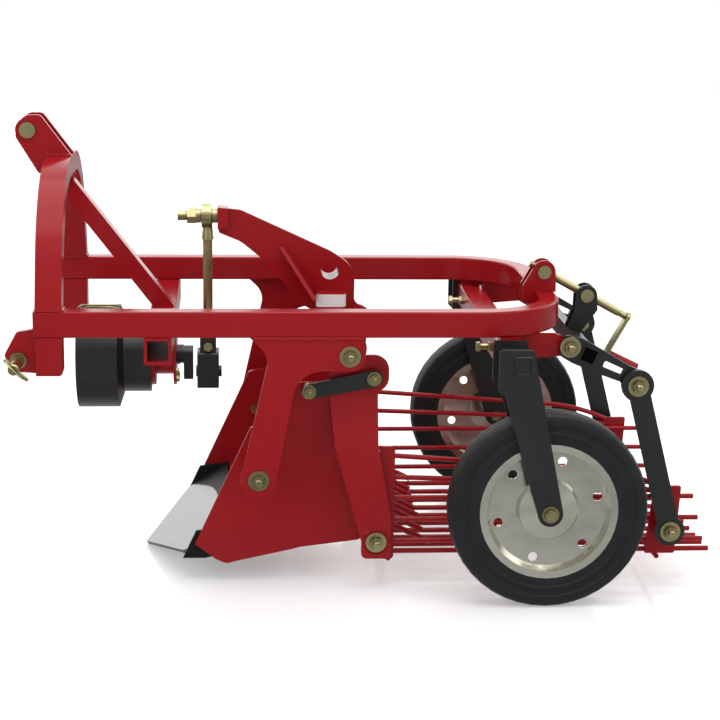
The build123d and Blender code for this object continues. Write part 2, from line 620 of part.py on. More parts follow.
def floor_z(y):
    return floor_mid + dish_r - math.sqrt(dish_r ** 2 - y ** 2)


with BuildPart() as sieve_floor:
    for k in range(floor_n):
        y = (k - (floor_n - 1) / 2) * floor_pitch
        pin_x(y, floor_z(y), floor_r, 24, floor_end)
    # curved rods under the bars, each turned about the dish's axis
    rod_dish = dish_r + floor_r + wire_r - 2
    for x in cross_xs:
        with BuildSketch(Plane.XZ) as sec:
            with Locations((x, floor_mid + dish_r - rod_dish)):
                Circle(wire_r)
        for s in (1, -1):
            revolve(sec.sketch, axis=Axis((x, 0, floor_mid + dish_r), (1, 0, 0)), revolution_arc=s * math.degrees(math.asin(wall_y / rod_dish)))
save(sieve_floor, "sieve_floor")

# posts that join the floor's cross rods to the side bars
post_y = wall_y - wire_r - post_r
post_foot = floor_mid + dish_r - math.sqrt((rod_dish - wire_r) ** 2 - (post_y + post_r) ** 2) + 0.05
with BuildPart() as sieve_posts:
    for x in cross_xs[::2]:
        for y in (-post_y, post_y):
            with Locations((x, y, (post_foot + post_top) / 2)):
                Cylinder(post_r, post_top - post_foot)
save(sieve_posts, "sieve_posts")

wall_bars = ((186.0, 676.0), (140.0, 688.0), (94.0, 700.0))
with BuildPart() as sieve_walls:
    for z, end in wall_bars:
        pin_x(-wall_y, z, wire_r, side_x, end)
    for z0, z1, end in ((277.0, 246.0, (600.0, 209.0)), (231.0, 215.0, (597.0, 197.0))):
        with BuildLine() as path:
            line = Line((side_x, -wall_y, z0), (460, -wall_y, z1))
            TangentArc(line @ 1, (end[0], -wall_y, end[1]), tangent=line % 1)
        with BuildSketch(Plane(origin=path.wire() @ 0, z_dir=path.wire() % 0)):
            Circle(wire_r)
        sweep(path=path.wire())
    mirror(about=Plane.XZ)
save(sieve_walls, "sieve_walls")

with BuildPart() as sieve_rear_plates:
    left([(592, 211, 4), (648, 211, 4), (640, 66, 4), (577, 66, 4)], sieve_in, sieve_t)
    mirror(about=Plane.XZ)
save(sieve_rear_plates, "sieve_rear_plates")

with BuildPart() as sieve_rear_pins:
    pin_y(sieve_r, bolt_r, sieve_in + sieve_t, rear_link_in + plate + slack)
    pin_y(sieve_r, 18, sieve_in + sieve_t, rear_link_in - slack)
    pin_y(sieve_r, washer_r, rear_link_in + plate + slack, rear_link_in + plate + slack + washer_t)
    hex_y(sieve_r, nut_w, rear_link_in + plate + slack + washer_t, rear_link_in + plate + slack + washer_t + nut_t)
    mirror(about=Plane.XZ)
save(sieve_rear_pins, "sieve_rear_pins")

# rear links that hang the sieve from the tilt levers
with BuildPart() as link_pins:
    pin_y(eye_p, bolt_r, lever_in - slack - 8, rear_link_in + plate + slack)
    pin_y(eye_p, washer_r, rear_link_in + plate + slack, rear_link_in + plate + slack + washer_t)
    hex_y(eye_p, nut_w, rear_link_in + plate + slack + washer_t, rear_link_in + plate + slack + washer_t + nut_t)
    pin_y(eye_p, 18, lever_in + plate + slack, rear_link_in - slack)
    hex_y(eye_p, head_w, lever_in - slack - 11, lever_in - slack)
    mirror(about=Plane.XZ)
save(link_pins, "link_pins")

with BuildPart() as rear_links:
    link(eye_p, 21.5, sieve_r, 21.5, rear_link_in, plate)
    pin_y(eye_p, 33, rear_link_in, rear_link_in + plate)
    pin_y(sieve_r, 31, rear_link_in, rear_link_in + plate)
    pin_y(eye_p, bolt_r + run, rear_link_in - 1, rear_link_in + plate + 1, Mode.SUBTRACT)
    pin_y(sieve_r, bolt_r + 4.5, rear_link_in - 1, rear_link_in + plate + 1, Mode.SUBTRACT)
    mirror(about=Plane.XZ)
save(rear_links, "rear_links")

# ================================================================ tilt levers and their screw
tilt_tube_c = (437.0, 491.0)
tilt_tube_w = 30.0
tilt_lean = 20.0
with BuildPart() as tilt_levers:
    left([(tilt_p[0] - 22, tilt_p[1]), (390, 534, 6), (428, 526, 20), (523, 471), (eye_p[0] + 14, eye_p[1] + 26), (eye_p[0] - 16, eye_p[1] - 26),
          (505, 438), (447, 459, 20), (403, 478, 20), (378, 493, 10)], lever_in, plate)
    pin_y(eye_p, 31, lever_in, lever_in + plate)
    left([(472, 482, 4), (511, 464, 3), (506, 453, 3), (467, 469, 4)], lever_in - 1, plate + 2, Mode.SUBTRACT)
    pin_y(tilt_p, bolt_r + run, lever_in - 1, lever_in + plate + 1, Mode.SUBTRACT)
    pin_y(eye_p, bolt_r + run, lever_in - 1, lever_in + plate + 1, Mode.SUBTRACT)
    mirror(about=Plane.XZ)
save(tilt_levers, "tilt_levers")


def tube_corner(s):
    # a corner of the tilt tube's upper face, front (-1) or rear (1)
    a = math.radians(tilt_lean)
    h = tilt_tube_w / 2
    return (tilt_tube_c[0] + h * (s * math.cos(a) + math.sin(a)), tilt_tube_c[1] + h * (math.cos(a) - s * math.sin(a)))


with BuildPart() as tilt_tube:
    with Locations(Location((tilt_tube_c[0], 0, tilt_tube_c[1]), (0, tilt_lean, 0))):
        Box(tilt_tube_w, 2 * lever_in, tilt_tube_w)
        Box(tilt_tube_w - 6, 2 * lever_in, tilt_tube_w - 6, mode=Mode.SUBTRACT)
    for y in (screw_y + cheek_in, screw_y - cheek_in - cheek_t):
        left([tube_corner(-1), (443, 548), (nut_p[0] - 22, nut_p[1]), (nut_p[0] + 22, nut_p[1]), (490, 548), tube_corner(1)], y, cheek_t)
        pin_y(nut_p, 22, y, y + cheek_t)
    pin_y(nut_p, stub_r + run, screw_y - cheek_in - cheek_t - 1, screw_y + cheek_in + cheek_t + 1, Mode.SUBTRACT)
save(tilt_tube, "tilt_tube")

# adjusting screw, its nut and its crank
screw_r = 7.0
barrel_r = 15.0
screw_dir = Vector(nut_p[0] - clevis_p[0], 0, nut_p[1] - clevis_p[1]).normalized()
barrel_half = cheek_in - slack
screw_0 = Vector(clevis_p[0], -screw_y, clevis_p[1])
reach = 205.0            # from the front trunnion to the crank
crank_drop = 86.0


def trunnion(c):
    pin_y(c, barrel_r, screw_y - barrel_half, screw_y + barrel_half)
    pin_y(c, stub_r, screw_y - cheek_in - cheek_t - slack, screw_y + cheek_in + cheek_t + slack)
    for s in (1, -1):
        pin_y(c, 14, screw_y + s * (cheek_in + cheek_t + slack), screw_y + s * (cheek_in + cheek_t + slack + 5))


with BuildPart() as crank_screw:
    trunnion(clevis_p)
    with BuildSketch(Plane(origin=screw_0 - screw_dir * 32, x_dir=(0, 1, 0), z_dir=screw_dir)):
        Circle(screw_r)
    extrude(amount=reach + 32 + 10)
    with BuildSketch(Plane(origin=screw_0 + screw_dir * reach, x_dir=(0, 1, 0), z_dir=screw_dir)):
        with Locations((0, -crank_drop / 2 if screw_dir.X > 0 else crank_drop / 2)):
            SlotCenterToCenter(crank_drop, 22, rotation=90)
    extrude(amount=8)
save(crank_screw, "crank_screw")

with BuildPart() as screw_nut:
    trunnion(nut_p)
    with BuildSketch(Plane(origin=Vector(nut_p[0], -screw_y, nut_p[1]) - screw_dir * 30, x_dir=(0, 1, 0), z_dir=screw_dir)):
        Circle(screw_r + 1.2)
    extrude(amount=60, mode=Mode.SUBTRACT)
save(screw_nut, "screw_nut")

down = Vector(screw_dir.Z, 0, -screw_dir.X)
with BuildPart() as screw_grip:
    with BuildSketch(Plane(origin=screw_0 + screw_dir * (reach + 8) + down * crank_drop, x_dir=(0, 1, 0), z_dir=screw_dir)):
        Circle(7.5)
    with BuildSketch(Plane(origin=screw_0 + screw_dir * (reach + 78) + down * crank_drop, x_dir=(0, 1, 0), z_dir=screw_dir)):
        Circle(11)
    loft()
save(screw_grip, "screw_grip")

# ================================================================ wheels
rim_r = 138.5
hub_half = fork_out - wheel_y - 2
for side, name in ((1, "left"), (-1, "right")):
    with BuildPart() as tyre:
        with BuildSketch(Plane.XY) as sec:
            with Locations(((rim_r + wheel_d / 2) / 2, 0)):
                Rectangle(wheel_d / 2 - rim_r, tyre_w)
            fillet(sec.vertices().group_by(Axis.X)[-1], 15)
        revolve(axis=Axis.Y)
        tyre.part.locate(Location((axle_p[0], -side * wheel_y, axle_p[1])))
    save(tyre, "tyre_" + name)
    with BuildPart() as rim:
        with BuildSketch(Plane.XY) as sec:
            Polygon((10 + run, -hub_half), (17, -hub_half), (17, -22), (34, -20), (58, -17), (64, -9), (116, -13), (124, -30), (rim_r, -30), (rim_r, -26), (127, -26),
                    (127, 26), (rim_r, 26), (rim_r, 30), (123, 30), (123, -8), (118, -9), (62, -5), (55, -13), (34, -16), (17, -18), (17, hub_half),
                    (10 + run, hub_half), align=None)
        revolve(axis=Axis.Y)
        with Locations(Location((0, 0, 0), (90, 0, 0))):
            with PolarLocations(0.74 * rim_r, 6, start_angle=15 * side):
                Cylinder(9.5, 60, mode=Mode.SUBTRACT)
        rim.part.locate(Location((axle_p[0], -side * wheel_y, axle_p[1]), (0, 0, 0 if side > 0 else 180)))
    save(rim, "rim_" + name)
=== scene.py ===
import math

import bmesh
import bpy
from mathutils import Matrix, Vector


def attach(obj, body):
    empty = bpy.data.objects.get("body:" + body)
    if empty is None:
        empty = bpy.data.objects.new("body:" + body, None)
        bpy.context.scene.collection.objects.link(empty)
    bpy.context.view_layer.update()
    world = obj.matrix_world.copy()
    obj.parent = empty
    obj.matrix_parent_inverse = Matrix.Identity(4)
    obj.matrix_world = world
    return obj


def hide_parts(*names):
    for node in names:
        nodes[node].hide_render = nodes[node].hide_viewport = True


# Lengths are metres in the machine's own frame: x runs from the hitch to the
# rear, y to the machine's right, and z up from the ground it stands on.
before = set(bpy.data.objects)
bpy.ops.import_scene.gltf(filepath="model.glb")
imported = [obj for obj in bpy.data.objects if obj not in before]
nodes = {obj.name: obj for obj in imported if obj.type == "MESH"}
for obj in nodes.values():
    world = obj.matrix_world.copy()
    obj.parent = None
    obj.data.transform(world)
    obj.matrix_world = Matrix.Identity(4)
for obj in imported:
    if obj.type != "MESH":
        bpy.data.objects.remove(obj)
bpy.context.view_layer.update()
scene = bpy.context.scene
left_and_right = ((-1, "left"), (1, "right"))
both_sides = (-1, 1)

# ---------------------------------------------------------------- camera
# A long lens at eye height, a little ahead of the machine's middle, looking
# across it from its left side and slightly down.
camera_place = (-0.275, -3.846, 1.303)
yaw, pitch, roll = (math.radians(degrees) for degrees in (4.08, 12.99, 0.86))
camera = bpy.data.objects.new("camera", bpy.data.cameras.new("camera"))
scene.collection.objects.link(camera)
scene.camera = camera
level = math.cos(pitch)
ahead = Vector((math.sin(yaw) * level, math.cos(yaw) * level, -math.sin(pitch)))
across = Vector((math.cos(yaw), -math.sin(yaw), 0))
above = across.cross(ahead)
tilted_across = math.cos(roll) * across + math.sin(roll) * above
tilted_above = -math.sin(roll) * across + math.cos(roll) * above
turn = Matrix((tilted_across, tilted_above, -ahead)).transposed().to_4x4()
camera.matrix_world = Matrix.Translation(camera_place) @ turn
camera.data.sensor_width = 36
camera.data.lens = 91.45
camera.data.clip_start, camera.data.clip_end = 0.1, 50


# ---------------------------------------------------------------- materials
# What every material below is put together from.
def linear(text):
    """A colour written as #rrggbb, as linear red, green, blue and alpha."""
    parts = [int(text[i:i + 2], 16) / 255 for i in (1, 3, 5)]
    opaque = 1
    return [c / 12.92 if c <= 0.04045 else ((c + 0.055) / 1.055) ** 2.4 for c in parts] + [opaque]


def add_node(tree, kind, inputs=None, **settings):
    node = tree.nodes.new(kind)
    for name, value in settings.items():
        setattr(node, name, value)
    for name, value in (inputs or {}).items():
        if isinstance(value, bpy.types.NodeSocket):
            tree.links.new(value, node.inputs[name])
        else:
            node.inputs[name].default_value = value
    return node


def start_material(name):
    """An empty material, its node tree, and the place on the object that textures follow."""
    made = bpy.data.materials.new(name)
    made.use_nodes = True
    made.node_tree.nodes.clear()
    place = add_node(made.node_tree, "ShaderNodeTexCoord").outputs["Object"]
    return made, made.node_tree, place


def noise(tree, place, scale, detail, roughness=0.5):
    inputs = {"Vector": place, "Scale": scale, "Detail": detail, "Roughness": roughness}
    return add_node(tree, "ShaderNodeTexNoise", inputs).outputs["Fac"]


def spread(tree, value, low, high, start=0.0, end=1.0):
    """The value, with its range from start to end mapped to low to high."""
    inputs = {"Value": value, "From Min": start, "From Max": end, "To Min": low, "To Max": high}
    return add_node(tree, "ShaderNodeMapRange", inputs).outputs["Result"]


def tint(tree, factor, first, second):
    """The first colour where factor is 0, the second where it is 1."""
    colour_a, colour_b, colour_out = 6, 7, 2
    inputs = {"Factor": factor, colour_a: first, colour_b: second}
    return add_node(tree, "ShaderNodeMix", inputs, data_type="RGBA").outputs[colour_out]


def choose(tree, factor, first, second):
    """The first number where factor is 0, the second where it is 1."""
    inputs = {"Factor": factor, "A": first, "B": second}
    return add_node(tree, "ShaderNodeMix", inputs).outputs[0]


def maths(tree, operation, *values):
    return add_node(tree, "ShaderNodeMath", dict(enumerate(values)), operation=operation).outputs[0]


def bump(tree, height, strength, distance, **under):
    """A bumped normal; under can hold the Normal that it is laid on."""
    inputs = {"Height": height, "Strength": strength, "Distance": distance, **under}
    return add_node(tree, "ShaderNodeBump", inputs).outputs["Normal"]


def surface(tree, colour, roughness, inputs=None):
    """A principled shader; inputs holds what else departs from its defaults."""
    inputs = {"Base Color": colour, "Roughness": roughness, **(inputs or {})}
    return add_node(tree, "ShaderNodeBsdfPrincipled", inputs).outputs[0]


def glow(tree, strength):
    return add_node(tree, "ShaderNodeEmission", {"Color": white, "Strength": strength}).outputs[0]


def either(tree, choice, first, second):
    """The first shader where choice is 0, the second where it is 1."""
    return add_node(tree, "ShaderNodeMixShader", {"Fac": choice, 1: first, 2: second}).outputs[0]


def link_surface(tree, shader, output="ShaderNodeOutputMaterial"):
    add_node(tree, output, {"Surface": shader})


def dress(material, *names):
    for name in names:
        nodes[name].data.materials.clear()
        nodes[name].data.materials.append(material)


white = (1, 1, 1, 1)

# ---------------------------------------------------------------- studio
# A white gloss floor that runs up to nothing, a soft overhead box and two
# side boxes. The floor keeps the machine's faint shadow and reflection.
floor_half = 12
floor_mesh = bmesh.new()
bmesh.ops.create_grid(floor_mesh, x_segments=1, y_segments=1, size=floor_half)
floor = bpy.data.objects.new("floor", bpy.data.meshes.new("floor"))
floor_mesh.to_mesh(floor.data)
floor_mesh.free()
scene.collection.objects.link(floor)
# The camera sees the floor glow a little. Bright metal sees it as patches of
# grey and white, so that its reflections aren't flat.
floor_white, tree, place = start_material("gloss_studio_floor")
gloss = surface(tree, linear("#f2f2f2"), roughness=0.16, inputs={"IOR": 1.45})
glowing = add_node(tree, "ShaderNodeAddShader", {0: gloss, 1: glow(tree, strength=0.30)}).outputs[0]
rays = add_node(tree, "ShaderNodeLightPath").outputs
seen = either(tree, rays["Is Camera Ray"], gloss, glowing)
patches = noise(tree, place, scale=1.4, detail=1.0)
patches = spread(tree, patches, low=0.18, high=0.75, start=0.35, end=0.65)
link_surface(tree, either(tree, rays["Is Glossy Ray"], seen, glow(tree, patches)))
floor.data.materials.append(floor_white)

# The camera sees plain white all round. Reflections see a studio that is
# bright behind the machine and overhead, and dim towards the camera.
world = bpy.data.worlds.new("studio")
scene.world = world
world.use_nodes = True
tree = world.node_tree
tree.nodes.clear()
diffuse_light, white_wall = 0.55, 1.0
rays = add_node(tree, "ShaderNodeLightPath").outputs
generated = add_node(tree, "ShaderNodeTexCoord").outputs["Generated"]
way = add_node(tree, "ShaderNodeSeparateXYZ", {"Vector": generated}).outputs
behind = spread(tree, way["Y"], low=0.4, high=1.7, start=-0.1, end=0.6)
overhead = spread(tree, way["Z"], low=0.4, high=1.3, start=0.3, end=0.7)
reflected = maths(tree, "MAXIMUM", behind, overhead)
lit_by = choose(tree, rays["Is Glossy Ray"], diffuse_light, reflected)
strength = choose(tree, rays["Is Camera Ray"], lit_by, white_wall)
backdrop = add_node(tree, "ShaderNodeBackground", {"Color": white, "Strength": strength})
link_surface(tree, backdrop.outputs[0], "ShaderNodeOutputWorld")
scene.view_settings.view_transform = "Standard"

lamps = (
    # name, where it hangs, what it points at, its side, its power in watts
    ("overhead_box", (0.0, -0.4, 3.2), (0, 0, 0.3), 3.0, 60),
    ("front_box", (-2.6, -2.8, 1.9), (0, 0, 0.4), 1.6, 22),
    ("rear_box", (2.8, -2.2, 2.0), (0.2, 0, 0.4), 1.6, 18),
)
for name, hung, aim, size, power in lamps:
    lamp = bpy.data.objects.new(name, bpy.data.lights.new(name, "AREA"))
    lamp.data.shape = "SQUARE"
    lamp.data.size = size
    lamp.data.energy = power
    lamp.location = hung
    lamp.rotation_euler = (Vector(aim) - Vector(hung)).to_track_quat("-Z", "Y").to_euler()
    scene.collection.objects.link(lamp)

# ---------------------------------------------------------------- red paint
# Mild steel with a thick gloss enamel, sprayed after welding: wet highlights,
# a slight orange peel and a shade that drifts a little from panel to panel.
red_enamel, tree, place = start_material("gloss_alkyd_enamel_red")
drift = noise(tree, place, scale=5.0, detail=3.0)
shade = tint(tree, drift, linear("#93141a"), linear("#a0191f"))
wet = spread(tree, drift, low=0.16, high=0.26)
peel = bump(tree, noise(tree, place, scale=260.0, detail=2.0), strength=0.10, distance=0.0006)
waves = noise(tree, place, scale=28.0, detail=1.0)
waves = bump(tree, waves, strength=0.12, distance=0.003, Normal=peel)
paint = surface(tree, shade, wet, {"Normal": waves, "IOR": 1.5, "Specular IOR Level": 0.2})
link_surface(tree, paint)
dress(
    red_enamel,
    *("main_rails", "arch", "top_link_ears", "brace", "hitch_brackets", "front_cross_tube"),
    *("side_brackets", "wheel_socket_tube", "rear_brackets", "screw_clevis", "bearing_housing"),
    *("rocker_shaft", "rocker_centre_arm", "rocker_side_arms"),
    *("share_sides", "share_hubs", "share_deck", "share_fingers"),
    *("sieve_front_plates", "sieve_floor", "sieve_posts", "sieve_walls", "sieve_rear_plates"),
    "screw_grip",
)

# ---------------------------------------------------------------- black paint
# Mild steel in semi-gloss black enamel, with softer highlights than the red.
black_enamel, tree, place = start_material("semi_gloss_enamel_black")
drift = noise(tree, place, scale=9.0, detail=4.0)
shade = tint(tree, drift, linear("#161718"), linear("#232426"))
wet = spread(tree, drift, low=0.3, high=0.42)
peel = bump(tree, noise(tree, place, scale=300.0, detail=2.0), strength=0.12, distance=0.0006)
link_surface(tree, surface(tree, shade, wet, {"Normal": peel, "IOR": 1.5}))
dress(
    black_enamel,
    *("pto_guard", "pto_crankshaft", "crank_block", "share_links"),
    *("tilt_levers", "tilt_tube", "rear_links", "wheel_forks"),
)

# ---------------------------------------------------------------- yellow zinc
# Electroplated zinc with a yellow chromate: pale straw with faint pink and
# green blooms, on bolts, pins, the push rod and the adjusting screw. Crowded
# corners get a painted shade: ambient occlusion darkens them to dark brown.
yellow_zinc, tree, place = start_material("yellow_chromate_zinc_plate")
bloom = noise(tree, place, scale=45.0, detail=4.0, roughness=0.6)
straw = add_node(tree, "ShaderNodeValToRGB", {"Fac": bloom})
ramp = straw.color_ramp.elements
ramp[0].position, ramp[0].color = 0.3, linear("#a09468")
ramp[1].position, ramp[1].color = 0.7, linear("#b8a584")
ramp.new(0.5).color = linear("#aeaa7c")
straw = straw.outputs["Color"]
# Painted shade: within 8 mm of another surface the straw colour darkens to dark brown.
near = {"Color": straw, "Distance": 0.008}
corners = add_node(tree, "ShaderNodeAmbientOcclusion", near, samples=6)
corner_shaded = tint(tree, corners.outputs["AO"], linear("#2c2618"), straw)
worn = spread(tree, bloom, low=0.24, high=0.4)
grain = bump(tree, noise(tree, place, scale=500.0, detail=2.0), strength=0.15, distance=0.0004)
link_surface(tree, surface(tree, corner_shaded, worn, {"Metallic": 1.0, "Normal": grain}))
dress(
    yellow_zinc,
    *("top_link_pin", "lower_hitch_pins", "frame_bolts", "rocker_bolts", "share_bolts", "block_bolt"),
    *("push_rod", "nose_stud", "link_pins", "sieve_pins", "sieve_rear_pins", "wheel_axles"),
    *("crank_screw", "screw_nut", "fork_clamps"),
)

# ---------------------------------------------------------------- wheel rims
# Pressed steel discs, bright zinc plated: silvery with a fine ripple left by
# the press.
bright_zinc, tree, place = start_material("bright_zinc_plate")
ripple = noise(tree, place, scale=14.0, detail=2.0)
silver = tint(tree, ripple, linear("#cdcdc0"), linear("#e4e3d6"))
dull = spread(tree, ripple, low=0.16, high=0.28)
pressed = bump(tree, ripple, strength=0.4, distance=0.004)
link_surface(tree, surface(tree, silver, dull, {"Metallic": 1.0, "Normal": pressed}))
dress(bright_zinc, "rim_left", "rim_right")

# ---------------------------------------------------------------- tyres
# Solid rubber, moulded: satin black walls and a slightly dusty tread.
solid_rubber, tree, place = start_material("moulded_solid_rubber")
dust = noise(tree, place, scale=14.0, detail=5.0)
shade = tint(tree, dust, linear("#151617"), linear("#27282a"))
dull = spread(tree, dust, low=0.42, high=0.58)
skin = bump(tree, noise(tree, place, scale=400.0, detail=3.0), strength=0.2, distance=0.0005)
rubber = surface(tree, shade, dull, {"Normal": skin, "IOR": 1.5, "Specular IOR Level": 0.25})
link_surface(tree, rubber)


# ---------------------------------------------------------------- making pieces
# Rows of vertices joined to tubes and heads, and the piece they end in.
def turned_row(mesh, centre, out, other, radii):
    """A closed row of vertices round a centre, with one radius for each."""
    row = []
    for k, radius in enumerate(radii):
        turn = math.tau * k / len(radii)
        outward = out * math.cos(turn) + other * math.sin(turn)
        row.append(mesh.verts.new(centre + outward * radius))
    return row


def join_rows(mesh, rows, capped=True):
    for low, high in zip(rows, rows[1:]):
        for k in range(len(low)):
            mesh.faces.new((low[k], low[k - 1], high[k - 1], high[k]))
    if capped:
        mesh.faces.new(rows[-1])
        mesh.faces.new(rows[0][::-1])


def on_side(side, points):
    """Points given for the machine's right, taken to its left where side is -1."""
    return [(x, side * y, z) for x, y, z in points]


def add_piece(name, mesh, material, body, slot, *replaced):
    """The mesh as a piece of the scene, smooth but for edges sharper than a rounded one."""
    sharp_edge = math.radians(32)
    bmesh.ops.recalc_face_normals(mesh, faces=mesh.faces)
    for face in mesh.faces:
        face.smooth = True
    piece = bpy.data.objects.new(name, bpy.data.meshes.new(name))
    mesh.to_mesh(piece.data)
    mesh.free()
    scene.collection.objects.link(piece)
    piece.data.materials.append(material)
    piece.data.set_sharp_from_angle(angle=sharp_edge)
    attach(piece, body)
    if replaced:
        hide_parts(*replaced)


# ---------------------------------------------------------------- tyres' form
# One turned profile: a flat tread with a shallow groove, a soft shoulder, and
# two raised rings on the wall above the rim. The other half is its mirror.
axle_x, axle_z, wheel_plane = 0.350, 0.200, 0.387
steps_round, same_place = 44, 0.00002
half_profile = [
    # distance from the wheel's middle plane, radius
    (0.0, 0.2000), (0.0065, 0.2000),  # tread
    (0.0080, 0.1985), (0.0100, 0.1985), (0.0115, 0.2000),  # groove
    (0.0225, 0.1992), (0.0292, 0.1952), (0.0325, 0.1880),  # shoulder
    (0.0335, 0.1800), (0.0333, 0.1762),  # outer ring
    (0.0318, 0.1748), (0.0318, 0.1640),  # hollow between the rings
    (0.0333, 0.1626), (0.0333, 0.1560), (0.0318, 0.1546),  # inner ring
    (0.0314, 0.1440), (0.0302, 0.1385),  # down to the rim
]
profile = [(-y, r) for y, r in half_profile[:0:-1]] + half_profile
for side, name in left_and_right:
    mesh = bmesh.new()
    middle = (axle_x, side * wheel_plane, axle_z)
    section = [mesh.verts.new((axle_x + r, middle[1] + y, axle_z)) for y, r in profile]
    edges = [mesh.edges.new(pair) for pair in zip(section, section[1:])]
    bmesh.ops.spin(
        mesh, geom=section + edges, cent=middle, axis=(0, 1, 0), dvec=(0, 0, 0),
        angle=math.tau, steps=steps_round, use_merge=True,
    )
    bmesh.ops.remove_doubles(mesh, verts=mesh.verts, dist=same_place)
    wheel, plain = "wheel_" + name, "tyre_" + name
    add_piece("moulded_tyre_" + name, mesh, solid_rubber, wheel, "tyre_rubber", plain)


# ---------------------------------------------------------------- threads
# Bolt ends that stand out of their nuts, and the thread of the adjusting
# screw: one turned surface whose radius follows a helix.
def threaded_rod(mesh, start, along, length, radius, pitch, sides=20):
    """A threaded rod with a chamfered far end; its first rows are a little thinner too."""
    rows_per_turn, thread_depth, chamfer = 4, 0.3 * pitch, 0.0012
    rows_in, rows_out, first_row = 2, 3, 0.6
    along = Vector(along).normalized()
    out = along.orthogonal().normalized()
    other = along.cross(out)
    count = max(4, round(length / pitch * rows_per_turn))
    rows = []
    for i in range(count + 1):
        full = min(1, (count - i) / rows_out) * min(1, i / rows_in + first_row)
        turns = [i / count * length / pitch - k / sides for k in range(sides)]
        ridges = [abs((turn % 1) * 2 - 1) for turn in turns]
        radii = [radius - thread_depth * (1 - ridge) - (1 - full) * chamfer for ridge in ridges]
        centre = Vector(start) + along * (length * i / count)
        rows.append(turned_row(mesh, centre, out, other, radii))
    join_rows(mesh, rows)


# Pivots across the machine, by their x and z.
rocker_pivot, share_pivot, tilt_pivot = (-0.044, 0.498), (-0.224, 0.244), (0.400, 0.510)
rocker_link_pin, share_link_pin = (0.009, 0.439), (-0.122, 0.412)
sieve_front_pin, sieve_rear_pin, rear_link_pin = (0.016, 0.102), (0.620, 0.125), (0.539, 0.432)
coarse_pitch, sunk_in_nut = 0.0018, 0.001
large_end, small_end = (0.0070, 0.009), (0.0050, 0.006)  # thread's radius and length
bolt_ends = (
    # body, pivot, how far from the machine's middle the nut ends, size
    ("frame", rocker_pivot, 0.350, large_end),
    ("frame", share_pivot, 0.350, large_end),
    ("frame", tilt_pivot, 0.319, large_end),
    ("rocker", rocker_link_pin, 0.290, small_end),
    ("share", share_link_pin, 0.290, small_end),
    ("front_pins", sieve_front_pin, 0.317, large_end),
    ("sieve", sieve_rear_pin, 0.332, large_end),
    ("upper_pins", rear_link_pin, 0.332, large_end),
)
for body in dict.fromkeys(owner for owner, *rest in bolt_ends):
    mesh = bmesh.new()
    for owner, (x, z), nut_end, (radius, length) in bolt_ends:
        if owner == body:
            for side in both_sides:
                start = (x, side * (nut_end - sunk_in_nut), z)
                threaded_rod(mesh, start, (0, side, 0), length, radius, coarse_pitch)
    add_piece(body + "_bolt_ends", mesh, yellow_zinc, body, "zinc")

clevis, nut = Vector((0.374, -0.100, 0.629)), Vector((0.466, -0.100, 0.579))
screw_way, past_clevis = (nut - clevis).normalized(), 0.024
start = clevis + screw_way * past_clevis
mesh = bmesh.new()
threaded_rod(mesh, start, screw_way, length=0.165, radius=0.0088, pitch=0.003, sides=24)
add_piece("adjusting_screw_thread", mesh, yellow_zinc, "screw", "zinc")


# ---------------------------------------------------------------- weld beads
# Rippled fillets where tubes and plates meet, under the paint.
def weld_bead(mesh, points, radius, closed=False, sides=8):
    """A round bead along the points, whose radius swells and shrinks from row to row."""
    row_step, off_axis = 0.004, Vector((0.3, 0.5, 0.8))
    quick, quick_turn, slow, slow_turn = 0.10, 2.3, 0.04, 0.7
    corners = [Vector(p) for p in points]
    if closed:
        corners.append(corners[0])
    steps = []
    for a, b in zip(corners, corners[1:]):
        count = max(2, round((b - a).length / row_step))
        steps += [(a.lerp(b, i / count), (b - a).normalized()) for i in range(count)]
    steps.append((corners[-1], steps[-1][1]))
    rows = []
    for i, (centre, along) in enumerate(steps):
        out = along.cross(off_axis).normalized()
        other = along.cross(out)
        swell = 1 + quick * math.cos(i * quick_turn) + slow * math.cos(i * slow_turn)
        rows.append(turned_row(mesh, centre, out, other, [radius * swell] * sides))
    join_rows(mesh, rows, capped=not closed)


def ring_points(pivot, y, radius, count=28):
    """Points round a pivot that lies across the machine, in the plane at y."""
    x, z = pivot
    turns = [math.tau * k / count for k in range(count)]
    return [(x + radius * math.cos(t), y, z + radius * math.sin(t)) for t in turns]


frame_seams = (
    # first end, last end, bead radius
    ((-0.607, 0.296, 0.588), (-0.607, 0.335, 0.588), 0.0035),  # rear of the arch's foot, on the rail
    ((-0.659, 0.294, 0.588), (-0.607, 0.294, 0.588), 0.0035),  # inside of the arch's foot
    ((-0.235, 0.3365, 0.534), (-0.018, 0.3365, 0.534), 0.0030),  # side bracket under the rail
    ((-0.659, 0.0335, 0.8565), (-0.609, 0.0335, 0.8565), 0.0032),  # top link ear on the arch
    ((-0.607, 0.020, 0.800), (-0.607, 0.020, 0.815), 0.0030),  # brace's head at the arch
    ((0.256, 0.3365, 0.522), (0.294, 0.3365, 0.522), 0.0028),  # wheel arms' socket under the rail
    ((-0.449, 0.328, 0.5345), (-0.395, 0.328, 0.5345), 0.0030),  # front cross tube under the rail
)
frame_welds = bmesh.new()
for side in both_sides:
    for first, last, radius in frame_seams:
        weld_bead(frame_welds, on_side(side, (first, last)), radius)
    share_boss = ring_points(share_pivot, side * 0.3265, radius=0.0345)
    weld_bead(frame_welds, share_boss, 0.0024, closed=True)
add_piece("frame_welds", frame_welds, red_enamel, "frame", "red_paint")

# Round each wheel arm's square tube, on the arm's outer face.
tube_front, tube_rear, tube_low, tube_high, arm_face = 0.270, 0.302, 0.484, 0.517, 0.4345
arm_corners = (
    (tube_front, arm_face, tube_low), (tube_rear, arm_face, tube_low),
    (tube_rear, arm_face, tube_high), (tube_front, arm_face, tube_high),
)
arm_welds = bmesh.new()
for side in both_sides:
    weld_bead(arm_welds, on_side(side, arm_corners), 0.0028, closed=True)
add_piece("wheel_arm_welds", arm_welds, black_enamel, "frame", "black_paint")

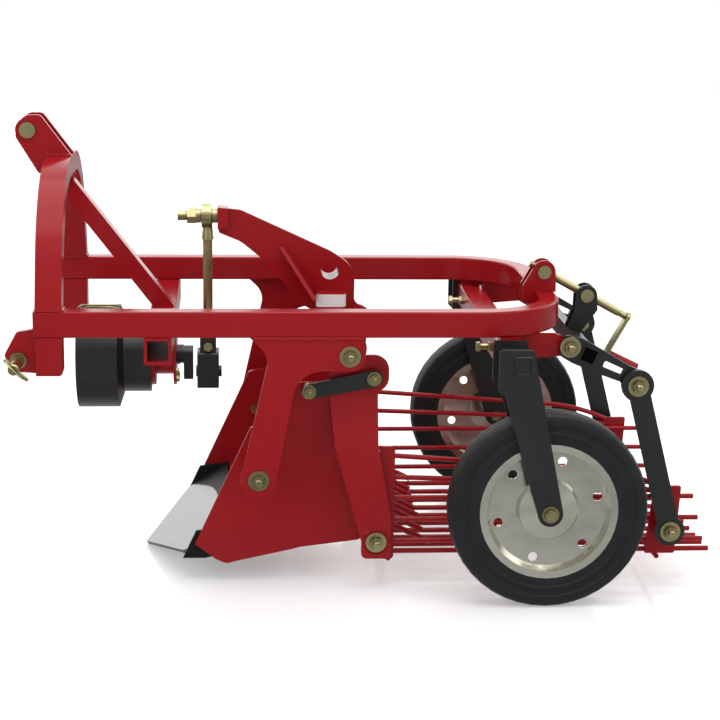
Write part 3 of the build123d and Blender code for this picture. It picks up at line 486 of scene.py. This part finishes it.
rocker_rings = (
    # pivot, distance from the machine's middle, ring radius, bead radius
    (rocker_pivot, 0.2665, 0.0305, 0.0028),  # shaft to side arm
    (sieve_front_pin, 0.3022, 0.0270, 0.0022),  # boss to side arm
    (rocker_pivot, 0.0405, 0.0305, 0.0028),  # shaft to the block of the middle arm
)
rocker_welds = bmesh.new()
for side in both_sides:
    for pivot, y, ring_radius, bead_radius in rocker_rings:
        ring = ring_points(pivot, side * y, ring_radius)
        weld_bead(rocker_welds, ring, bead_radius, closed=True)
add_piece("rocker_welds", rocker_welds, red_enamel, "rocker", "red_paint")


# ---------------------------------------------------------------- small fittings
# Linch pins through the hitch pins, the wire clip that holds the guard, and
# the screws that close the wheel arms and the shaft's bearing.
def wire_piece(name, body, points, radius):
    curve = bpy.data.curves.new(name, "CURVE")
    curve.dimensions = "3D"
    curve.bevel_depth = radius
    curve.bevel_resolution = 4
    spline = curve.splines.new("POLY")
    spline.points.add(len(points) - 1)
    for point, at in zip(spline.points, points):
        point.co = (*at, 1)
    curve.use_fill_caps = True
    piece = bpy.data.objects.new(name, curve)
    scene.collection.objects.link(piece)
    curve.materials.append(yellow_zinc)
    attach(piece, body)


def hex_heads(mesh, places, along, across_flats, height):
    """Hexagon heads with their upper edge broken, standing on places."""
    root_of_three, edge_start, narrowed = 1.732, 0.8, 0.88
    corner_radius = across_flats / root_of_three
    levels = ((0, 1.0), (height * edge_start, 1.0), (height, narrowed))
    along = Vector(along)
    out = along.orthogonal().normalized()
    other = along.cross(out)
    for at in places:
        rows = [
            turned_row(mesh, Vector(at) + along * lift, out, other, [corner_radius * grow] * 6)
            for lift, grow in levels
        ]
        join_rows(mesh, rows)


pin_wire, ring_wire, clip_wire = 0.0036, 0.0019, 0.0024
linch_pin = ((-0.711, 0.404, 0.508), (-0.667, 0.404, 0.467))
ring_steps = 20
linch_ring = [
    (-0.689 + 0.0195 * math.cos(t), 0.404 + 0.019 * math.sin(t), 0.4875 - 0.0185 * math.cos(t))
    for t in (math.pi * k / ring_steps for k in range(ring_steps + 1))
]
for side, name in left_and_right:
    wire_piece("linch_pin_" + name, "frame", on_side(side, linch_pin), pin_wire)
    wire_piece("linch_ring_" + name, "frame", on_side(side, linch_ring), ring_wire)

bend_steps = 8
clip_out = [(-0.512, 0.526), (-0.512, 0.533), (-0.520, 0.5355), (-0.585, 0.5350)]
clip_bend = [
    (-0.592 - 0.010 * math.sin(t), -0.001 - 0.005 * math.cos(t), 0.5350 - 0.004 * t)
    for t in (math.pi * k / bend_steps for k in range(bend_steps + 1))
]
clip_back = [(-0.585, 0.5285), (-0.530, 0.5275)]
clip = [(x, -0.006, z) for x, z in clip_out] + clip_bend + [(x, 0.005, z) for x, z in clip_back]
wire_piece("guard_clip", "frame", clip, clip_wire)

arm_screws = ((0.3353, 0.434, 0.2576), (0.3424, 0.434, 0.2319))
mesh = bmesh.new()
for side in both_sides:
    hex_heads(mesh, on_side(side, arm_screws), (0, side, 0), across_flats=0.008, height=0.003)
add_piece("wheel_arm_screws", mesh, black_enamel, "frame", "black_paint")

bearing_face, bearing_z, screw_circle = -0.395, 0.428, 0.054
bearing_screws = [
    (bearing_face, screw_circle * math.cos(t), bearing_z + screw_circle * math.sin(t))
    for t in (math.radians(degrees) for degrees in (-150, -110, -70, -30))
]
mesh = bmesh.new()
hex_heads(mesh, bearing_screws, (1, 0, 0), across_flats=0.013, height=0.006)
add_piece("small_screws", mesh, yellow_zinc, "frame", "zinc")

# ---------------------------------------------------------------- ends of the tilt tube
# The square tube comes out through each tilt lever: its wall stands a little
# proud of the lever. A near-black sheet closes its mouth, a painted shade for the dark inside of the
# tube.
tube_x, tube_z, tube_half, tube_wall = 0.4387, 0.4926, 0.0170, 0.0030
bore_half = tube_half - tube_wall
lever_face, let_in, proud, mouth_lift = 0.3040, 0.001, 0.0020, 0.0003
lean = math.radians(-24)


def square(mesh, half, y):
    """A square of vertices, leaning as the tilt lever does, in the plane at y."""
    corners = ((-half, -half), (half, -half), (half, half), (-half, half))
    return [
        mesh.verts.new((
            tube_x + a * math.cos(lean) - b * math.sin(lean), y,
            tube_z + a * math.sin(lean) + b * math.cos(lean),
        ))
        for a, b in corners
    ]


wall_section = (
    (tube_half, lever_face - let_in), (tube_half, lever_face + proud),
    (bore_half, lever_face + proud), (bore_half, lever_face - let_in),
)
mouths, walls = bmesh.new(), bmesh.new()
for side in both_sides:
    join_rows(walls, [square(walls, half, side * y) for half, y in wall_section], capped=False)
    mouths.faces.new(square(mouths, bore_half, side * (lever_face + mouth_lift)))
add_piece("tilt_tube_ends", walls, black_enamel, "tilt", "black_paint")

# Painted shade: a near-black matt sheet stands for the shade inside the tube's bore.
painted_shade_bore, tree, place = start_material("painted_shade_tube_bore")
dust = noise(tree, place, scale=120.0, detail=2.0)
shade = tint(tree, dust, linear("#030303"), linear("#0a0a0a"))
link_surface(tree, surface(tree, shade, roughness=0.9, inputs={"Specular IOR Level": 0.05}))
add_piece("tilt_tube_mouths_painted_shade", mouths, painted_shade_bore, "tilt", "black_paint")

# ---------------------------------------------------------------- sticker
# A blank white label wrapped round the left side of the block that foots the
# middle arm.
label_white, tree, place = start_material("vinyl_label_white")
speck = noise(tree, place, scale=60.0, detail=3.0)
shade = tint(tree, speck, linear("#d9d9d7"), linear("#eeeeec"))
link_surface(tree, surface(tree, shade, roughness=0.35, inputs={"IOR": 1.46}))
corner_r, block_y, lifted, steps_per_corner = 0.012, 0.040, 0.0004, 6
label_low, label_high = 0.5385, 0.5655
reach, centre_y = corner_r + lifted, -block_y + corner_r
outline = []
for centre_x, first_turn, last_turn in ((-0.086, 180, 270), (-0.047, 270, 360)):
    for k in range(steps_per_corner + 1):
        t = math.radians(first_turn + (last_turn - first_turn) * k / steps_per_corner)
        outline.append((centre_x + reach * math.cos(t), centre_y + reach * math.sin(t)))
mesh = bmesh.new()
low = [mesh.verts.new((x, y, label_low)) for x, y in outline]
high = [mesh.verts.new((x, y, label_high)) for x, y in outline]
for k in range(len(outline) - 1):
    mesh.faces.new((low[k], low[k + 1], high[k + 1], high[k]))
add_piece("blank_label", mesh, label_white, "rocker", None)

# ---------------------------------------------------------------- share's blade
# Manganese steel: ground bright from the cutting edges back to a curve that
# the soil has worn, and black paint behind it.
worn_steel, tree, place = start_material("ground_blade_steel_with_black_back")
curve_x, curve_bend, edge_wander = -0.312, -1.2, 0.008
parts = add_node(tree, "ShaderNodeSeparateXYZ", {"Vector": place}).outputs
off_middle = maths(tree, "MULTIPLY", parts["Y"], parts["Y"])
curve = maths(tree, "MULTIPLY_ADD", off_middle, curve_bend, curve_x)
rough_edge = noise(tree, place, scale=55.0, detail=3.0)
worn_to = maths(tree, "MULTIPLY_ADD", rough_edge, edge_wander, curve)
beyond = maths(tree, "GREATER_THAN", parts["X"], worn_to)
stretched = add_node(tree, "ShaderNodeMapping", {"Vector": place, "Scale": (30, 400, 30)}).outputs[0]
brushed = noise(tree, stretched, scale=1.0, detail=3.0)
brushed = tint(tree, brushed, linear("#6d6f70"), linear("#a3a4a3"))
ground = surface(tree, brushed, roughness=0.33, inputs={"Metallic": 1.0})
dull_black = {"IOR": 1.5, "Specular IOR Level": 0.12}
black_back = surface(tree, linear("#1b1b1d"), roughness=0.5, inputs=dull_black)
link_surface(tree, either(tree, beyond, ground, black_back))
dress(worn_steel, "share_blade")

# ---------------------------------------------------------------- broken edges
# Cut plates, pins and bolt heads have their edges broken by about a
# millimetre.
edge_width, edge_steps, edge_angle = 0.0012, 2, math.radians(40)
for name in (
    *("share_sides", "side_brackets", "rocker_side_arms", "rear_links", "tilt_levers", "share_links"),
    *("wheel_forks", "sieve_rear_plates", "hitch_brackets", "arch", "brace"),
    *("frame_bolts", "rocker_bolts", "share_bolts", "link_pins"),
    *("sieve_pins", "sieve_rear_pins", "wheel_axles"),
):
    broken_edge = nodes[name].modifiers.new("ground_edge", "BEVEL")
    broken_edge.width = edge_width
    broken_edge.segments = edge_steps
    broken_edge.limit_method = "ANGLE"
    broken_edge.angle_limit = edge_angle
